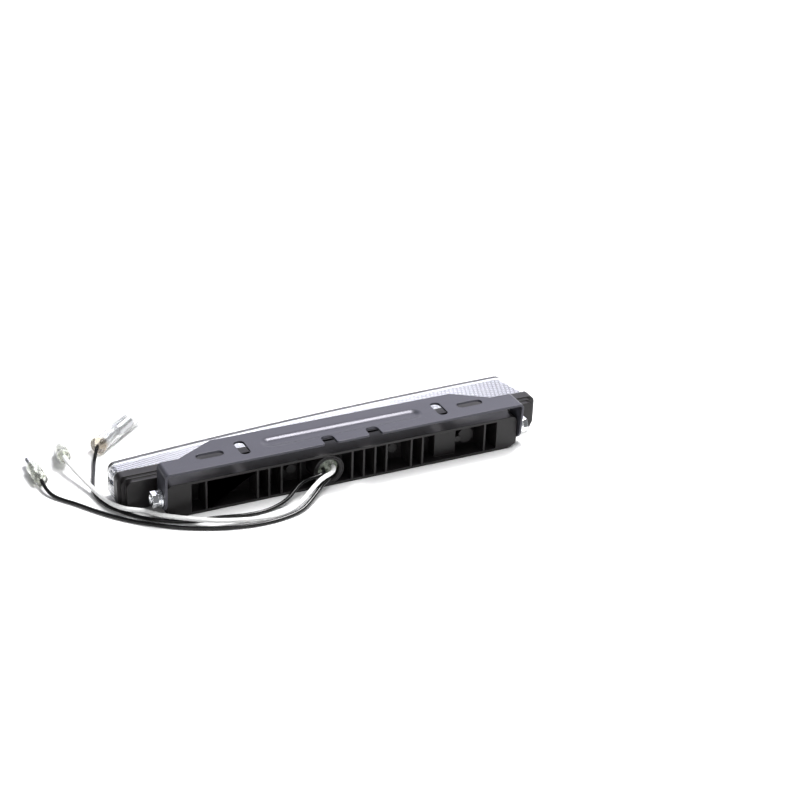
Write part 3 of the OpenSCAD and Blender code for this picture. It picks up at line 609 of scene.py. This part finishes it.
def build_lens():
    count, rows = 1000, 22
    bm = bmesh.new()

    def ring(points):
        return [bm.verts.new((x * MM, y * MM, z * MM)) for x, y, z in points]

    def to_ring(d, y_of, wave=None):
        pts = []
        for x, z, nx, nz, s in outline(d, count):
            y = y_of(x)
            # the front is found where the leaning wall has taken the point
            xx = lean_x(x, y)
            y = y_of(xx)
            xx = lean_x(x, y)
            q = wave(s, y, xx) if wave else 0.0
            pts.append((xx + q * nx, y, z + q * nz + LH / 2))
        return ring(pts)

    def join(a, b):
        for k in range(count):
            bm.faces.new((a[k], b[k], b[(k + 1) % count], a[(k + 1) % count]))

    half = LH / 2
    outer = [to_ring(0.0, lambda x: SEAM + 0.05)]
    for j in range(1, 4):
        outer.append(to_ring(0.0, lambda x, j=j: SEAM + 0.05 + (front_y(x, 0) - 0.7 - SEAM) * j / 3))
    for d, back in ((0.02, 0.17), (0.08, 0.06), (0.2, 0.0), (0.75, 0.0)):
        outer.append(to_ring(d, lambda x, b=back: front_y(x, 0) - b))
    for d in (1.6, 3.4, 5.6, 7.4, half - 0.0005):
        outer.append(to_ring(d, lambda x: front_y(x, 0)))

    wall, front = 1.5, 1.1
    pitch, amp = 1.9, 0.13

    def flute(s, y, x):
        top = front_y(x, 0) - front
        fade = min(max((y - SEAM - 1.3) / 0.8, 0), 1) * min(max((top - 0.9 - y) / 0.8, 0), 1)
        # flutes slant over the long walls and run straight from front to back over the shallow end
        end = min(max((-105.6 - x) / 2.0, 0.0), 1.0)
        tri = abs(((s + 0.85 * y) / pitch % 1.0) - 0.5) * 2
        flat = abs((s / 1.8 % 1.0) - 0.5) * 2
        return fade * (amp * (1 - end) * tri + 0.26 * end * flat)

    inner = [to_ring(2.2, lambda x: SEAM + 0.05), to_ring(2.2, lambda x: SEAM + 0.9), to_ring(2.1, lambda x: SEAM + 1.0)]
    for j in range(0, rows + 1):
        inner.append(to_ring(wall, lambda x, j=j: SEAM + 1.0 + (front_y(x, 0) - front - 1.4 - SEAM) * j / rows, flute))
    for d, back in ((wall + 0.08, 0.22), (wall + 0.3, 0.04), (wall + 0.6, 0.0)):
        inner.append(to_ring(d, lambda x, b=back: front_y(x, 0) - front - b))
    for d in (3.4, 5.6, 7.4, half - 0.0005):
        inner.append(to_ring(d, lambda x: front_y(x, 0) - front))

    foot = [to_ring(1.2, lambda x: SEAM + 0.05), to_ring(1.2, lambda x: -0.2), to_ring(1.3, lambda x: -0.3),
            to_ring(2.1, lambda x: -0.3), to_ring(2.2, lambda x: -0.2)]
    chain = list(reversed(outer)) + foot + inner
    for a, b in zip(chain, chain[1:]):
        join(a, b)
    bmesh.ops.remove_doubles(bm, verts=outer[-1] + inner[-1], dist=0.0025 * MM)
    bmesh.ops.dissolve_degenerate(bm, edges=bm.edges, dist=1e-7)
    o = finish_mesh(bm, "lens_moulding", mat_lens, 28)
    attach(o, "lamp")
    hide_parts("lens_cover")
    return o


lens = build_lens()

# ---------------------------------------------------------------- fasteners
bolts = eased("pivot_bolts", "pivot_bolt_pair", mat_zinc, width=0.22, seg=3)
springs = eased("spring_washers", "spring_washer_pair", mat_washer, width=0.16, seg=2)
flats = eased("flat_washers", "flat_washer_pair", mat_washer, width=0.16, seg=2)

# ---------------------------------------------------------------- terminals


def dent(depth, width, at=math.pi):
    """Scales a ring, pushed in around one angle, as a crimp does."""
    def f(a):
        q = (a - at + math.pi) % (2 * math.pi) - math.pi
        return 1.0 - depth * math.exp(-(q / width) ** 2)
    return f


def bullet(name, route, node):
    d = dent(0.26, 0.42)
    s = dent(0.05, 0.09)
    rows = [(0.05, 1.2), (0.0, 1.55), (0.12, 1.74), (0.7, 1.75, dent(0.06, 0.4)), (1.0, 1.75, d), (2.4, 1.75, d),
            (2.7, 1.75, dent(0.06, 0.4)), (3.0, 1.75, d), (4.0, 1.75, d), (4.3, 1.75, dent(0.06, 0.4)), (4.5, 1.8),
            (4.55, 2.3), (4.7, 2.43), (6.0, 2.43), (6.18, 2.3), (6.3, 1.98), (6.5, 1.94, s), (11.9, 1.94, s),
            (12.1, 1.78, s), (12.9, 1.78, s), (13.1, 1.94, s), (15.9, 1.94, s), (16.3, 1.93), (16.9, 1.84),
            (17.4, 1.6), (17.8, 1.22), (18.05, 0.8), (18.2, 0.36)]
    o = loft(name, rows, mat_tin_bright, end_frame(route), n=72, smooth=34)
    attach(o, "lamp")
    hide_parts(node)
    return o


bullet_white = bullet("bullet_on_white", WHITE, "white_bullet")
bullet_black = bullet("bullet_on_black", FRONT, "black_bullet")
socket = eased("socket_terminal", "socket_on_black", mat_tin, width=0.14, seg=2)


def soft_sleeve(name, route, node, outer, inner, mat):
    """Sleeve with a round lip at both ends; outer runs one way, inner comes back."""
    rows = outer + inner
    o = loft(name, rows, mat, end_frame(route), n=64, cap0=False, cap1=False, smooth=50)
    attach(o, "lamp")
    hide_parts(node)
    return o


def short_sleeve(name, route, node, lead_r):
    outer = [(-4.45, lead_r + 0.5), (-4.5, 2.6), (-4.42, 2.95), (-4.15, 3.2), (-3.6, 3.28), (-1.4, 3.26), (-1.1, 3.16),
             (-0.6, 3.14), (-0.3, 3.24), (3.5, 3.27), (7.6, 3.24), (9.0, 3.18), (9.8, 2.98), (10.4, 2.78), (10.66, 2.68)]
    inner = [(10.66, 2.56), (10.4, 2.5), (4, 2.5), (-1.9, 2.5), (-2.3, 2.44), (-2.5, 2.2), (-2.6, lead_r + 0.3),
             (-2.8, lead_r + 0.12), (-4.2, lead_r + 0.12), (-4.4, lead_r + 0.25)]
    return soft_sleeve(name, route, node, outer, inner, mat_sleeve)


sleeve_white = short_sleeve("sleeve_on_white", WHITE, "white_bullet_sleeve", 1.15)
sleeve_black = short_sleeve("sleeve_on_black", FRONT, "black_bullet_sleeve", 0.9)
sleeve_socket = soft_sleeve(
    "sleeve_on_socket", REAR, "socket_sleeve",
    [(-5.45, 1.6), (-5.5, 2.9), (-5.4, 3.7), (-5.1, 4.14), (-4.7, 4.27), (-3.1, 4.28), (-2.7, 4.22), (-2.4, 4.14),
     (2, 4.2), (6.2, 4.25), (6.5, 4.36), (6.9, 4.43), (8.4, 4.43), (8.8, 4.38), (9.2, 4.29), (18, 4.42), (28.6, 4.55),
     (29.5, 4.5), (29.85, 4.36)],
    [(30.0, 4.05), (29.9, 3.75), (29.5, 3.55), (13.4, 3.5), (12.6, 2.84), (12.0, 2.8), (-1.9, 2.8), (-2.3, 2.7),
     (-2.5, 2.4), (-2.6, 1.4), (-2.8, 1.03), (-4.9, 1.02), (-5.3, 1.15)], mat_sleeve_clear)

# ---------------------------------------------------------------- leads: attached to the lamp, their CAD nodes hidden
for o, node, where, size, length, slot, parts in (
        (lead_white, "white_lead", (-8, -18.6, 9.6), 2.3, 0.1877, "lead_white", [bullet_white, sleeve_white]),
        (lead_front, "black_lead_front", (-9.4, -18.6, 6), 1.8, 0.1871, "lead_black", [bullet_black, sleeve_black]),
        (lead_rear, "black_lead_rear", (-13, -18.6, 9.2), 1.8, 0.1895, "lead_black", [socket, sleeve_socket])):
    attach(o, "lamp")
    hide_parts(node)

# ---------------------------------------------------------------- the CAD nodes that stay
for node, mat in (("lens_seal", mat_seal), ("reflector", mat_reflector), ("led_board", mat_board),
                  ("leds", mat_diode), ("board_screws", mat_zinc), ("driver_board", mat_green),
                  ("driver_parts", mat_electronics), ("link_pins", mat_link), ("threaded_inserts", mat_brass),
                  ("lead_grommet", mat_plug)):
    set_material(N[node], mat)

# ---------------------------------------------------------------- floor and light
bm = bmesh.new()
bmesh.ops.create_grid(bm, x_segments=2, y_segments=2, size=4.0)
M = Mat("floor_white", color=(0.86, 0.86, 0.86), rough=0.9, spec=0.1)
M.color(M.mix(M.span(M.noise(3, 2), 0.3, 0.7, 0.0, 1.0), (0.865, 0.865, 0.865), (0.855, 0.855, 0.858)))
floor = finish_mesh(bm, "floor", M.m)
floor.location = (0, 0, -0.00005)

world = bpy.data.worlds.new("studio")
scene.world = world
world.use_nodes = True
world.node_tree.nodes["Background"].inputs["Color"].default_value = (0.95, 0.97, 1.0, 1)
world.node_tree.nodes["Background"].inputs["Strength"].default_value = 0.2


def area(name, where, target, size, power, color=(1, 1, 1)):
    la = bpy.data.lights.new(name, "AREA")
    la.shape = "RECTANGLE"
    la.size, la.size_y = size
    la.energy = power
    la.color = color
    o = bpy.data.objects.new(name, la)
    coll.objects.link(o)
    o.location = where
    d = Vector(target) - Vector(where)
    o.rotation_euler = d.to_track_quat("-Z", "Y").to_euler()
    return o


area("softbox_over", (0.46, -0.1, 1.25), (0, 0, 0), (0.9, 0.7), 22)
area("softbox_strip", (0.47, 0.25, 1.2), (0, 0, 0), (0.34, 0.24), 12)
area("fill_front", (-0.7, -1.3, 0.9), (0, 0, 0), (1.4, 0.8), 7)
area("card_low", (0.7, 1.9, 0.3), (0, 0, 0.1), (2.6, 0.5), 3.5)
area("softbox_back", (0.7, 1.6, 1.0), (0, 0, 0.0), (2.4, 1.2), 14, (0.97, 0.95, 1.08))

scene.view_settings.view_transform = "Standard"
scene.view_settings.look = "None"
scene.view_settings.exposure = 0.0
scene.view_settings.gamma = 0.9
